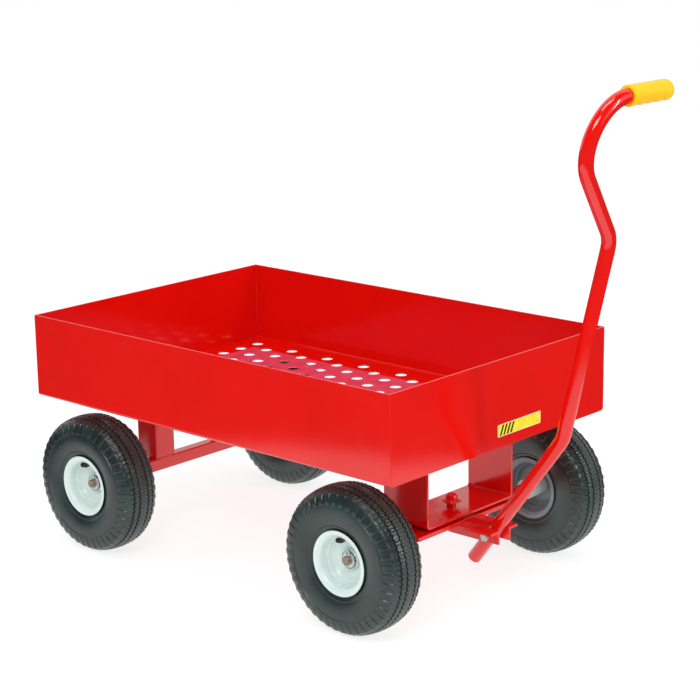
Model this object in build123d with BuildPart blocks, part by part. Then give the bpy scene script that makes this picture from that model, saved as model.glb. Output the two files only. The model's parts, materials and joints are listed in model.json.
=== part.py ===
from build123d import *
import math
import os

# Fifth-wheel steered pull wagon with a perforated steel tray.
# Millimetres. +X is forward (towards the pull handle), +Y is the wagon's left, +Z is up.
# Z = 0 is the ground; the origin lies under the middle of the whole wagon's bounding box.

os.makedirs("parts", exist_ok=True)

# ---------------------------------------------------------------- driving dimensions
# Tray
tray_length = 914.4
tray_width = 609.6
tray_height = 161.5
tyre_clearance = 26.3  # tray's underside above the tyres
sheet = 2.7
tray_bend = 6.0  # outside radius where a side folds under
tray_return = 15.0  # width of the fold that carries the deck
deck_hole_d = 25.4
deck_pitch = 25.4  # half the spacing of the staggered rows
deck_margin = 50.8

# Steering bolster under the front of the tray
kingpin_set_back = 119.2  # kingpin behind the tray's front
bolster_depth = 101.6
bolster_width = 246.0
bolster_plate = 4.8
bolster_bend = 9.5
bolster_setback = 5.0  # bolster's middle behind the kingpin

# Kingpin
kingpin_d = 12.7
bush_wall = 2.35
bush_stand = 10.0  # bush above the bolster plate
cap_flange_d = 35.0
cap_flange = 3.0
cap_rim = 5.6  # dome's wall round the kingpin
cap_dome_h = 14.0
cap_wall = 4.0

# Swivel plate and tongue
swivel_plate_t = 7.9
swivel_depth = 101.6
swivel_width = 304.8
wear_ring_d = 90.0
wear_ring_t = 3.1
carrier_t = 12.0
carrier_w = 38.0
carrier_drop = 24.0
carrier_lip = 1.5  # boss radius less than the washer's
angle_leg = 25.4
angle_t = 4.8
tongue_reach = 122.5  # tongue's front end ahead of the kingpin
pivot_ahead = 94.0
pivot_drop = 15.6  # pivot below the swivel plate
pivot_d = 9.525
hex_flat = 14.3
bolt_head = 6.2
nut_h = 11.5
bolt_end = 2.0  # bolt beyond its nut

# Rear support
rear_axle_set_in = 125.2  # rear axle ahead of the tray's back
rear_beam = 25.4
rear_leg_spread = 254.0
rear_leg_depth = 56.0
rear_leg_flange = 50.0
rear_leg_plate = 4.8
rear_leg_bend = 8.0

# Wheels
tyre_r = 134.6
tyre_w = 86.0
tread = 9.0
tube_t = 2.0
track = 538.0  # between the wheels' middle planes
axle_d = 15.875
bead_r = 51.0
flange_r = 59.3
flange_plane = 36.4
rim_t = 2.0
hub_d = 38.1
hub_wall = 1.6
hub_out = 9.5  # hub's outer end beyond the wheel's middle plane
hub_length = 57.15
bearing_w = 11.0
valve_plane = 19.0  # valve hole outward of the wheel's middle plane
valve_d = 8.0
valve_reach = 15.0  # bent valve outward of its hole
valve_drop = 11.0  # bent valve inside the rim's well
valve_cap_l = 9.0
washer_d = 28.0
washer_t = 1.6
cotter_d = 3.2
axle_end = 9.0  # axle beyond the outer washer

# Handle
tube_d = 25.4
tube_wall = 2.4
tail = 67.6  # tube behind the pivot
lower_run = 257.5
lower_lean = 36.8  # degrees forward of upright
middle_run = 374.0
middle_lean = 14.06
crook_rise = 252.5  # first sideways bend to the grip's line, along the middle run
side_lean = 41.5
knee_r = 55.0
crook_r = 80.0
grip_wall = 5.25
grip_length = 118.0
grip_nose = 11.0  # rounding of the grip's closed end
grip_cap = 9.0  # thickness of the grip's closed end
grip_end = 70.0  # closed end of the grip left of the wagon's middle

# Label plate
label_w = 124.0
label_h = 22.6
label_t = 0.6
label_left = 45.7
label_up = 31.7

# Clearances
running = 0.05
touch = 0.05
body_gap = 0.3
end_play = 0.4
side_play = 0.8  # handle's tube between the tongue's angles

# ---------------------------------------------------------------- places worked out
lower_dir = Vector(math.sin(math.radians(lower_lean)), 0, math.cos(math.radians(lower_lean)))
middle_dir = Vector(math.sin(math.radians(middle_lean)), 0, math.cos(math.radians(middle_lean)))
crook_side = crook_rise * math.tan(math.radians(side_lean))

grip_d = tube_d + 2 * (touch + grip_wall)
kingpin_from_middle = tray_length / 2 - kingpin_set_back
rear_axle_behind = tray_length / 2 - rear_axle_set_in
pivot_from_middle = kingpin_from_middle + pivot_ahead
grip_from_middle = (
    pivot_from_middle + lower_run * lower_dir.X + (middle_run + crook_rise) * middle_dir.X
)
front_reach = max(grip_from_middle + grip_d / 2, tray_length / 2)
rear_reach = max(rear_axle_behind + tyre_r, tray_length / 2)
tray_x = (rear_reach - front_reach) / 2

steer_x = tray_x + kingpin_from_middle
rear_x = tray_x - rear_axle_behind
pivot_x = steer_x + pivot_ahead
tray_front = tray_x + tray_length / 2
tray_rear = tray_x - tray_length / 2
deck_height = 2 * tyre_r + tyre_clearance
deck_top = deck_height + sheet
bolster_x = steer_x - bolster_setback
axle_r = axle_d / 2
axle_z = tyre_r
swivel_bottom = axle_z + axle_r + touch
swivel_top = swivel_bottom + swivel_plate_t
bolster_bottom = swivel_top + wear_ring_t + body_gap
pivot_height = swivel_bottom - pivot_drop
tongue_gap = tube_d + 2 * side_play
bush_d = kingpin_d + 2 * (running + bush_wall)
cap_dome_d = kingpin_d + 2 * (touch + cap_rim)
wheel_y = track / 2
hub_in = hub_length - hub_out
inner_stop = wheel_y - hub_in - end_play - washer_t
outer_stop = wheel_y + hub_out + end_play
axle_half = outer_stop + washer_t + axle_end
cotter_y = outer_stop + washer_t + cotter_d / 2 + 0.6
beam_top = axle_z + rear_beam / 2


def save(part, name):
    part.label = name
    export_step(part, f"parts/{name}.step")


# ---------------------------------------------------------------- tray
# Deck: one flat perforated sheet, framed by the folded edges of the sides and by the ends.
hole_columns = int((tray_length - 2 * deck_margin) / (2 * deck_pitch) + 0.5)
hole_rows = int((tray_width - 2 * deck_margin) / deck_pitch + 0.5)
deck_holes = [
    (tray_x + (i - hole_columns / 2) * 2 * deck_pitch, (j - hole_rows / 2) * deck_pitch)
    for i in range(hole_columns + 1)
    for j in range(hole_rows + 1)
    if (i + j) % 2 == 0
]

with BuildPart() as perforated_deck:
    with BuildSketch(Plane.XY.offset(deck_height)):
        with Locations((tray_x, 0)):
            Rectangle(tray_length - 2 * sheet, tray_width - 2 * tray_return)
        with Locations(*deck_holes):
            Circle(deck_hole_d / 2, mode=Mode.SUBTRACT)
    extrude(amount=sheet)
save(perforated_deck.part, "perforated_deck")


# Sides: sheet folded under at the bottom, where the deck is butt-welded to the fold.
def side_panel(name, side):
    outer = side * tray_width / 2
    inner = outer - side * sheet
    fold = outer - side * tray_return
    top = deck_height + tray_height
    with BuildPart() as panel:
        with BuildSketch(Plane.YZ.offset(tray_rear)) as section:
            with BuildLine():
                Polyline(
                    (outer, deck_height),
                    (outer, top),
                    (inner, top),
                    (inner, deck_top),
                    (fold, deck_top),
                    (fold, deck_height),
                    close=True,
                )
            make_face()
            corners = section.vertices()
            fillet(corners.sort_by_distance((outer, deck_height))[0], tray_bend)
            corners = section.vertices()
            fillet(corners.sort_by_distance((inner, deck_top))[0], tray_bend - sheet)
        extrude(amount=tray_length)
    save(panel.part, name)


side_panel("side_panel_right", -1)
side_panel("side_panel_left", 1)


# Ends: flat plates between the sides, notched over their folds and welded all round.
def end_panel(name, outer_x, inward):
    height = tray_height - sheet
    with BuildPart() as panel:
        with BuildSketch(Plane.YZ.offset(outer_x)) as outline:
            with Locations((0, deck_top + height / 2)):
                Rectangle(tray_width - 2 * sheet, height)
            low = outline.vertices().group_by(Axis.Y)[0]
            fillet(low, tray_bend - sheet + touch)
            with Locations((0, deck_height + sheet / 2)):
                Rectangle(tray_width - 2 * tray_return, sheet)
        extrude(amount=inward * sheet)
    save(panel.part, name)


end_panel("front_end_panel", tray_front, -1)
end_panel("rear_end_panel", tray_rear, 1)

with BuildPart() as label_plate:
    with BuildSketch(Plane.YZ.offset(tray_front)):
        with Locations((label_left, deck_height + label_up)):
            RectangleRounded(label_w, label_h, 2.0)
    extrude(amount=label_t)
save(label_plate.part, "label_plate")

# ---------------------------------------------------------------- front bolster
# One plate bent into a U; the tops of its legs are welded to the tray's underside.
half_bolster = bolster_width / 2
bolster_top = bolster_bottom + bolster_plate

with BuildPart() as front_bolster:
    with BuildSketch(Plane.YZ.offset(bolster_x - bolster_depth / 2)) as section:
        with BuildLine():
            Polyline(
                (-half_bolster, deck_height),
                (-half_bolster, bolster_bottom),
                (half_bolster, bolster_bottom),
                (half_bolster, deck_height),
                (half_bolster - bolster_plate, deck_height),
                (half_bolster - bolster_plate, bolster_top),
                (-half_bolster + bolster_plate, bolster_top),
                (-half_bolster + bolster_plate, deck_height),
                close=True,
            )
        make_face()
        fillet(section.vertices().group_by(Axis.Y)[0], bolster_bend)
        inside = section.vertices().filter_by(
            lambda v: abs(v.Y - bolster_top) < 0.01 and abs(v.X) < half_bolster - 0.9 * bolster_plate
        )
        fillet(inside, bolster_bend - bolster_plate)
    extrude(amount=bolster_depth)
    with BuildSketch(Plane.XY.offset(bolster_bottom)):
        with Locations((steer_x, 0)):
            Circle(bush_d / 2 + touch)
    extrude(amount=bolster_plate, mode=Mode.SUBTRACT)
save(front_bolster.part, "front_bolster")

bush_top = bolster_top + bush_stand

with BuildPart() as kingpin_bush:
    with BuildSketch(Plane.XY.offset(bolster_bottom)):
        with Locations((steer_x, 0)):
            Circle(bush_d / 2)
            Circle(kingpin_d / 2 + running, mode=Mode.SUBTRACT)
    extrude(amount=bush_top - bolster_bottom)
save(kingpin_bush.part, "kingpin_bush")


# ---------------------------------------------------------------- rear support
# Two channel legs welded to the tray, standing on a square tube that holds the rear axle.
beam_front = rear_x + rear_beam / 2


def rear_leg(name, side):
    outer = side * rear_leg_spread / 2
    inner = outer - side * rear_leg_flange
    back = beam_front - rear_leg_depth
    with BuildPart() as leg:
        with BuildSketch(Plane.XY.offset(beam_top)) as section:
            with BuildLine():
                Polyline(
                    (beam_front, inner),
                    (beam_front, outer),
                    (back, outer),
                    (back, inner),
                    (back + rear_leg_plate, inner),
                    (back + rear_leg_plate, outer - side * rear_leg_plate),
                    (beam_front - rear_leg_plate, outer - side * rear_leg_plate),
                    (beam_front - rear_leg_plate, inner),
                    close=True,
                )
            make_face()
            for corner_x in (beam_front, back):
                near = section.vertices().sort_by_distance((corner_x, outer))[0]
                fillet(near, rear_leg_bend)
            for corner_x in (beam_front - rear_leg_plate, back + rear_leg_plate):
                spot = (corner_x, outer - side * rear_leg_plate)
                near = section.vertices().sort_by_distance(spot)[0]
                fillet(near, rear_leg_bend - rear_leg_plate)
        extrude(amount=deck_height - beam_top)
    save(leg.part, name)


rear_leg("rear_leg_right", -1)
rear_leg("rear_leg_left", 1)

with BuildPart() as rear_axle_beam:
    with BuildSketch(Plane.XZ.offset(-inner_stop)):
        with Locations((rear_x, axle_z)):
            RectangleRounded(rear_beam, rear_beam, 3.0)
            Circle(axle_r + touch, mode=Mode.SUBTRACT)
    extrude(amount=2 * inner_stop)
save(rear_axle_beam.part, "rear_axle_beam")


# ---------------------------------------------------------------- axles and their fastenings
def axle(name, x):
    with BuildPart() as rod:
        with BuildSketch(Plane.XZ.offset(-axle_half)):
            with Locations((x, axle_z)):
                Circle(axle_r)
        extrude(amount=2 * axle_half)
        chamfer(rod.edges().filter_by(GeomType.CIRCLE), 1.0)
        with BuildSketch(Plane.XY.offset(axle_z - axle_d)):
            with Locations((x, cotter_y), (x, -cotter_y)):
                Circle(cotter_d / 2 + touch)
        extrude(amount=2 * axle_d, mode=Mode.SUBTRACT)
    save(rod.part, name)


# Four plain washers on an axle: one inside and one outside each wheel.
def axle_washers(name, x):
    with BuildPart() as washers:
        for low in (-outer_stop - washer_t, -inner_stop - washer_t, inner_stop, outer_stop):
            with BuildSketch(Plane.XZ.offset(-low - washer_t)):
                with Locations((x, axle_z)):
                    Circle(washer_d / 2)
                    Circle(axle_r + touch, mode=Mode.SUBTRACT)
            extrude(amount=washer_t)
    save(washers.part, name)


# Cotter pins: a round leg through the axle with an eye above it.
def cotter_pins(name, x):
    eye_r = cotter_d * 1.1
    with BuildPart() as pins:
        for y in (-cotter_y, cotter_y):
            with BuildSketch(Plane.XY.offset(axle_z - axle_r - 5.0)):
                with Locations((x, y)):
                    Circle(cotter_d / 2)
            extrude(amount=axle_d + 7.5)
            with BuildSketch(Plane.XZ.offset(-y - cotter_d * 0.4)):
                with Locations((x, axle_z + axle_r + 1.5 + eye_r)):
                    Circle(eye_r + cotter_d / 2)
                    Circle(eye_r - cotter_d / 2, mode=Mode.SUBTRACT)
            extrude(amount=cotter_d * 0.8)
    save(pins.part, name)


axle("rear_axle", rear_x)
axle_washers("rear_axle_washers", rear_x)
cotter_pins("rear_cotter_pins", rear_x)
axle("front_axle", steer_x)
axle_washers("front_axle_washers", steer_x)
cotter_pins("front_cotter_pins", steer_x)

# ---------------------------------------------------------------- steering
with BuildPart() as swivel_plate:
    with BuildSketch(Plane.XY.offset(swivel_bottom)):
        with Locations((steer_x, 0)):
            RectangleRounded(swivel_depth, swivel_width, 4.0)
            Circle(kingpin_d / 2 + touch, mode=Mode.SUBTRACT)
    extrude(amount=swivel_plate_t)
save(swivel_plate.part, "swivel_plate")

with BuildPart() as wear_ring:
    with BuildSketch(Plane.XY.offset(swivel_top)):
        with Locations((steer_x, 0)):
            Circle(wear_ring_d / 2)
            Circle(kingpin_d / 2 + touch, mode=Mode.SUBTRACT)
    extrude(amount=wear_ring_t)
save(wear_ring.part, "wear_ring")

cap_bottom = bush_top + body_gap
kingpin_top = cap_bottom + cap_flange + cap_dome_h - cap_wall

with BuildPart() as kingpin:
    with BuildSketch(Plane.XY.offset(swivel_bottom)):
        with Locations((steer_x, 0)):
            Circle(kingpin_d / 2)
    extrude(amount=kingpin_top - touch - swivel_bottom)
save(kingpin.part, "kingpin")

# Domed cap with a wide flange, driven onto the top of the kingpin.
with BuildPart() as kingpin_cap:
    with BuildSketch(Plane.XZ) as section:
        with BuildLine():
            crown = cap_bottom + cap_flange + cap_dome_h
            shoulder = crown - cap_dome_d / 2
            Polyline(
                (steer_x, crown),
                (steer_x, kingpin_top),
                (steer_x + kingpin_d / 2 + touch, kingpin_top),
                (steer_x + kingpin_d / 2 + touch, cap_bottom),
                (steer_x + cap_flange_d / 2, cap_bottom),
                (steer_x + cap_flange_d / 2, cap_bottom + cap_flange),
                (steer_x + cap_dome_d / 2, cap_bottom + cap_flange),
                (steer_x + cap_dome_d / 2, shoulder),
            )
            RadiusArc((steer_x + cap_dome_d / 2, shoulder), (steer_x, crown), -cap_dome_d / 2)
        make_face()
    revolve(axis=Axis((steer_x, 0, 0), (0, 0, 1)))
save(kingpin_cap.part, "kingpin_cap")

# Axle carriers: a block under each end of the swivel plate with a boss out to the wheel.
swivel_end = swivel_width / 2

with BuildPart() as axle_carriers:
    for side in (-1, 1):
        with BuildSketch(Plane.XZ.offset(-side * swivel_end)):
            with Locations((steer_x, swivel_bottom - carrier_drop / 2)):
                Rectangle(carrier_w, carrier_drop)
        extrude(amount=side * carrier_t)
        with BuildSketch(Plane.XZ.offset(-side * swivel_end)):
            with Locations((steer_x, axle_z)):
                Circle(washer_d / 2 - carrier_lip)
        extrude(amount=-side * (inner_stop - swivel_end))
    with BuildSketch(Plane.XZ.offset(-axle_half)):
        with Locations((steer_x, axle_z)):
            Circle(axle_r + touch)
    extrude(amount=2 * axle_half, mode=Mode.SUBTRACT)
save(axle_carriers.part, "axle_carriers")


# Tongue: two angles back to back, welded under the swivel plate against the axle.
def tongue_angle(name, side):
    face = side * tongue_gap / 2
    back = steer_x + axle_r + touch
    length = steer_x + tongue_reach - back
    with BuildPart() as angle:
        with BuildSketch(Plane.YZ.offset(back)) as section:
            with BuildLine():
                Polyline(
                    (face, swivel_bottom),
                    (face, swivel_bottom - angle_leg),
                    (face + side * angle_t, swivel_bottom - angle_leg),
                    (face + side * angle_t, swivel_bottom - angle_t),
                    (face + side * angle_leg, swivel_bottom - angle_t),
                    (face + side * angle_leg, swivel_bottom),
                    close=True,
                )
            make_face()
            root = (face + side * angle_t, swivel_bottom - angle_t)
            fillet(section.vertices().sort_by_distance(root)[0], angle_t * 0.6)
        extrude(amount=length)
        with BuildSketch(Plane.XZ):
            with Locations((pivot_x, pivot_height)):
                Circle(pivot_d / 2 + running)
        extrude(amount=tongue_gap + angle_leg, both=True, mode=Mode.SUBTRACT)
    save(angle.part, name)


tongue_angle("tongue_angle_right", -1)
tongue_angle("tongue_angle_left", 1)

# Pivot bolt: hexagon head outside the right angle, lock nut outside the left one.
angle_outer = tongue_gap / 2 + angle_t

with BuildPart() as pivot_bolt:
    with BuildSketch(Plane.XZ.offset(angle_outer)):
        with Locations((pivot_x, pivot_height)):
            RegularPolygon(hex_flat / 2, 6, major_radius=False)
    extrude(amount=bolt_head)
    with BuildSketch(Plane.XZ.offset(angle_outer)):
        with Locations((pivot_x, pivot_height)):
            Circle(pivot_d / 2)
    extrude(amount=-(2 * angle_outer + nut_h + bolt_end))
save(pivot_bolt.part, "pivot_bolt")

with BuildPart() as pivot_nut:
    with BuildSketch(Plane.XZ.offset(-angle_outer)):
        with Locations((pivot_x, pivot_height)):
            RegularPolygon(hex_flat / 2, 6, major_radius=False)
            Circle(pivot_d / 2 + touch, mode=Mode.SUBTRACT)
    extrude(amount=-nut_h)
save(pivot_nut.part, "pivot_nut")

# ---------------------------------------------------------------- pull handle
# One bent tube: knee forward of the tray, then a sideways crook up to a level grip.
pivot = Vector(pivot_x, 0, pivot_height)
tail_point = pivot - lower_dir * tail
knee = pivot + lower_dir * lower_run
side_bend = knee + middle_dir * middle_run
grip_line = knee + middle_dir * (middle_run + crook_rise)
crook = grip_line - Vector(0, crook_side, 0)
tube_end = grip_line + Vector(0, grip_end - grip_cap, 0)

with BuildPart() as pull_handle:
    with BuildLine() as route:
        FilletPolyline(
            tail_point, knee, side_bend, crook, tube_end, radius=[knee_r, knee_r, crook_r]
        )
    with BuildSketch(Plane(origin=tail_point, x_dir=(0, 1, 0), z_dir=lower_dir)):
        Circle(tube_d / 2)
        Circle(tube_d / 2 - tube_wall, mode=Mode.SUBTRACT)
    sweep(path=route.wires()[0])
    with BuildSketch(Plane.XZ):
        with Locations((pivot_x, pivot_height)):
            Circle(pivot_d / 2 + running)
    extrude(amount=tube_d, both=True, mode=Mode.SUBTRACT)
save(pull_handle.part, "pull_handle")

# Moulded grip pushed over the level end of the tube, closed at its outer end.
with BuildPart() as hand_grip:
    with BuildSketch(Plane(origin=grip_line, x_dir=(0, 1, 0), z_dir=(1, 0, 0))) as section:
        with BuildLine():
            start = grip_end - grip_length
            bore_end = grip_end - grip_cap + touch
            bore_r = tube_d / 2 + touch
            grip_r = grip_d / 2
            Polyline(
                (grip_end, 0),
                (bore_end, 0),
                (bore_end, bore_r),
                (start, bore_r),
                (start, grip_r),
                (grip_end, grip_r),
                close=True,
            )
        make_face()
        fillet(section.vertices().sort_by_distance((grip_end, grip_r))[0], grip_nose)
        fillet(section.vertices().sort_by_distance((start, grip_r))[0], 2.0)
    revolve(axis=Axis(grip_line, (0, 1, 0)))
save(hand_grip.part, "hand_grip")


# ---------------------------------------------------------------- wheels
# Each wheel's profile plane has local X along the axle, outward, and local Y upwards.
def wheel(prefix, x, side):
    hub = Vector(x, side * wheel_y, axle_z)
    profile = Plane(origin=hub, x_dir=(0, side, 0), z_dir=(side, 0, 0))
    spin = Axis(hub, (0, 1, 0))
    half_w = tyre_w / 2
    crown_r = tyre_r - tread

    # Tyre: open casing with two beads held by the rim flanges.
    with BuildPart() as tyre:
        with BuildSketch(profile):
            with BuildLine():
                bead_out = flange_plane - rim_t - touch
                Spline(
                    (0, tyre_r),
                    (half_w * 0.5, tyre_r - 2.2),
                    (half_w * 0.80, tyre_r - 9.5),
                    (half_w * 0.96, tyre_r - 25.0),
                    (half_w, tyre_r - 42.0),
                    (bead_out + 2.5, flange_r + 6.0),
                    tangents=((1, 0), (-0.5, -1)),
                )
                Polyline(
                    (bead_out + 2.5, flange_r + 6.0),
                    (bead_out, flange_r + 1.5),
                    (bead_out, bead_r + rim_t),
                    (bead_out - 9.0, bead_r),
                    (bead_out - 9.0, flange_r),
                )
                Spline(
                    (bead_out - 9.0, flange_r),
                    (half_w - 7.0, tyre_r - 38.0),
                    (half_w * 0.55, crown_r - 5.5),
                    (0, crown_r),
                    tangents=((0.35, 1), (-1, 0)),
                )
                mirror(about=Plane.YZ)
            make_face()
        revolve(axis=spin)
    save(tyre.part, f"{prefix}_tyre")

    # Inner tube: thin round ring that fills the casing's width.
    tube_bottom = bead_r + 3.0
    tube_top = crown_r - 0.5
    tube_middle = (tube_bottom + tube_top) / 2
    tube_high = (tube_top - tube_bottom) / 2
    tube_wide = half_w * 0.68
    with BuildPart() as inner_tube:
        with BuildSketch(profile):
            with Locations((0, tube_middle)):
                Ellipse(tube_wide, tube_high)
                Ellipse(tube_wide - tube_t, tube_high - tube_t, mode=Mode.SUBTRACT)
        revolve(axis=spin)
    save(inner_tube.part, f"{prefix}_inner_tube")

    # Rim: two pressed dishes back to back, welded to the hub.
    hub_r = hub_d / 2
    well_r = bead_r - 3.0
    for half, outward in (("rim_outer_half", 1), ("rim_inner_half", -1)):
        with BuildPart() as rim:
            with BuildSketch(profile):
                with BuildLine():
                    FilletPolyline(
                        (outward * rim_t / 2, hub_r + touch + rim_t / 2),
                        (outward * rim_t / 2, hub_r + 16.0),
                        (outward * 12.0, well_r - 3.0),
                        (outward * (flange_plane - 3.4), bead_r - 1.6),
                        (outward * (flange_plane - rim_t / 2), bead_r + 1.0),
                        (outward * (flange_plane - rim_t / 2), flange_r - rim_t / 2),
                        radius=[5.0, 5.0, 1.5, 1.5],
                    )
                    offset(amount=rim_t / 2, side=Side.BOTH, kind=Kind.ARC)
                make_face()
            revolve(axis=spin)
            if outward == 1:
                with BuildSketch(Plane.XY.offset(axle_z)):
                    with Locations((x, side * (wheel_y + valve_plane))):
                        Circle(valve_d / 2 + touch)
                extrude(amount=bead_r + rim_t, mode=Mode.SUBTRACT)
        save(rim.part, f"{prefix}_{half}")

    # Hub tube, set in from the rim's outer side.
    with BuildPart() as hub_tube:
        with BuildSketch(Plane(origin=hub, x_dir=(1, 0, 0), z_dir=(0, side, 0)).offset(-hub_in)):
            Circle(hub_r)
            Circle(hub_r - hub_wall, mode=Mode.SUBTRACT)
        extrude(amount=hub_length)
    save(hub_tube.part, f"{prefix}_hub_tube")

    # Two ball bearings pressed into the hub's ends.
    with BuildPart() as bearings:
        for start in (-hub_in, hub_out - bearing_w):
            face = Plane(origin=hub, x_dir=(1, 0, 0), z_dir=(0, side, 0)).offset(start)
            with BuildSketch(face):
                Circle(hub_r - hub_wall - touch)
                Circle(axle_r + running, mode=Mode.SUBTRACT)
            extrude(amount=bearing_w)
    save(bearings.part, f"{prefix}_bearings")

    # Bent metal valve: inwards through the rim's well, then outwards to its cap.
    stem_r = well_r - valve_drop
    stem_out = valve_plane + valve_reach
    stem_edge = (valve_plane - valve_d / 2) / tube_wide
    stem_foot = tube_middle - tube_high * math.sqrt(1 - stem_edge**2) - touch
    with BuildPart() as valve_stem:
        with BuildLine() as bend:
            FilletPolyline(
                profile.from_local_coords((valve_plane, stem_foot)),
                profile.from_local_coords((valve_plane, stem_r)),
                profile.from_local_coords((stem_out, stem_r)),
                radius=5.0,
            )
        with BuildSketch(Plane(origin=bend.wires()[0] @ 0, z_dir=(0, 0, -1))):
            Circle(valve_d / 2)
        sweep(path=bend.wires()[0])
    save(valve_stem.part, f"{prefix}_valve_stem")

    with BuildPart() as valve_cap:
        tip = profile.from_local_coords((stem_out, stem_r))
        with BuildSketch(Plane(origin=tip, x_dir=(1, 0, 0), z_dir=(0, side, 0))):
            Circle(valve_d / 2 + 0.7)
        extrude(amount=valve_cap_l)
        chamfer(valve_cap.faces().sort_by(Axis.Y)[-1 if side == 1 else 0].edges(), 1.2)
    save(valve_cap.part, f"{prefix}_valve_cap")


for end, wheel_x in (("front", steer_x), ("rear", rear_x)):
    for hand, side in (("right", -1), ("left", 1)):
        wheel(f"{end}_{hand}", wheel_x, side)
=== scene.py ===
import json
import math

import bmesh
import bpy
from mathutils import Matrix, Vector


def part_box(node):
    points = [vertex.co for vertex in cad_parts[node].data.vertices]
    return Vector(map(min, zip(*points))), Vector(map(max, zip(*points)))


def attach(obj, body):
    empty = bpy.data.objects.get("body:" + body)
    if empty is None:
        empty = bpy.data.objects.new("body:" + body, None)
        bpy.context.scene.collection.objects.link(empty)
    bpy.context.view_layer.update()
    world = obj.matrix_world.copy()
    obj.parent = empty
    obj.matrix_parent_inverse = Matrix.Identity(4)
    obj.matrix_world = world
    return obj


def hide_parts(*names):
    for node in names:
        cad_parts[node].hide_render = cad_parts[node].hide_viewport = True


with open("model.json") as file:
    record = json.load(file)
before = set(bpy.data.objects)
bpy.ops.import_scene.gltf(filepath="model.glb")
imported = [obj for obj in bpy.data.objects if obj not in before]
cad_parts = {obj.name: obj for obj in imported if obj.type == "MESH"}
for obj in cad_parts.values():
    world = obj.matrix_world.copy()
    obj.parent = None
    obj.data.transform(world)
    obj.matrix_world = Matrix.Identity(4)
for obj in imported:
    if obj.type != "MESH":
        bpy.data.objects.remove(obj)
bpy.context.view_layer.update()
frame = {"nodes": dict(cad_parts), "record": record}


# ---------------------------------------------------------------- studio
# A white sweep with broad soft lights, as for a catalogue: the enamel shows long pale
# reflections and the ground under the wagon keeps only a faint shadow.


def linear(hex_colour):
    """A colour given as sRGB hex, as the linear values that shaders take."""
    channels = [int(hex_colour[i : i + 2], 16) / 255 for i in (1, 3, 5)]
    return [c / 12.92 if c <= 0.04045 else ((c + 0.055) / 1.055) ** 2.4 for c in channels] + [1.0]


def add_node(tree, kind, inputs=None, stops=(), **settings):
    """A shader node with its settings, its inputs set or linked, and its colour stops."""
    node = tree.nodes.new(kind)
    for name, value in settings.items():
        setattr(node, name, value)
    for name, value in (inputs or {}).items():
        if isinstance(value, bpy.types.NodeSocket):
            tree.links.new(value, node.inputs[name])
        else:
            node.inputs[name].default_value = value
    for count, (position, colour) in enumerate(stops):
        point = node.color_ramp.elements[count]
        point.position = position
        point.color = linear(colour)
    return node


def new_material(name, **fixed):
    """A Principled material with its fixed inputs, its node tree and Object coordinates."""
    material = bpy.data.materials.new(name)
    material.use_nodes = True
    tree = material.node_tree
    shader = tree.nodes["Principled BSDF"]
    for key, value in fixed.items():
        shader.inputs[key.replace("_", " ")].default_value = value
    place = add_node(tree, "ShaderNodeTexCoord").outputs["Object"]
    return material, tree, shader, place


scene = bpy.context.scene
scene.view_settings.view_transform = "Standard"
world = bpy.data.worlds.new("studio_world")
scene.world = world
world.use_nodes = True
tree = world.node_tree
fill = tree.nodes["Background"]
fill.inputs["Color"].default_value = linear("#FFFFFF")
fill.inputs["Strength"].default_value = 0.6
# Gloss sees a white backdrop behind the wagon, a white reflector off its front left and a
# dark studio everywhere else, so the enamel turns pale only where it faces them.
BACKDROP = ((-0.674, 0.739, 0.0), 0.25)  # direction, and the cosine where it ends
REFLECTOR = ((0.87, 0.48, 0.12), 0.78)
SOFT_END = 0.12
way = add_node(tree, "ShaderNodeTexCoord").outputs["Generated"]
cards = []
for towards, ends in (BACKDROP, REFLECTOR):
    facing = add_node(tree, "ShaderNodeVectorMath", {0: way, 1: towards}, operation="DOT_PRODUCT")
    card = add_node(
        tree,
        "ShaderNodeMapRange",
        {
            "Value": facing.outputs["Value"],
            "From Min": ends,
            "From Max": ends + SOFT_END,
            "To Min": 0.02,
            "To Max": 0.9,
        },
    )
    cards.append(card.outputs["Result"])
bright = add_node(tree, "ShaderNodeMath", {0: cards[0], 1: cards[1]}, operation="MAXIMUM")
gloss = add_node(
    tree,
    "ShaderNodeBackground",
    {"Color": linear("#FFFFFF"), "Strength": bright.outputs["Value"]},
)
ray = add_node(tree, "ShaderNodeLightPath")
split = add_node(tree, "ShaderNodeMixShader", {"Fac": ray.outputs["Is Glossy Ray"]})
tree.links.new(fill.outputs["Background"], split.inputs[1])
tree.links.new(gloss.outputs["Background"], split.inputs[2])
white = add_node(tree, "ShaderNodeBackground", {"Color": linear("#FFFFFF"), "Strength": 1.0})
seen = add_node(tree, "ShaderNodeMixShader", {"Fac": ray.outputs["Is Camera Ray"]})
tree.links.new(split.outputs["Shader"], seen.inputs[1])
tree.links.new(white.outputs["Background"], seen.inputs[2])
tree.links.new(seen.outputs["Shader"], tree.nodes["World Output"].inputs["Surface"])

floor_mesh = bmesh.new()
bmesh.ops.create_grid(floor_mesh, x_segments=1, y_segments=1, size=14.0)
floor_data = bpy.data.meshes.new("studio_floor")
floor_mesh.to_mesh(floor_data)
floor_mesh.free()
floor = bpy.data.objects.new("studio_floor", floor_data)
scene.collection.objects.link(floor)
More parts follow.
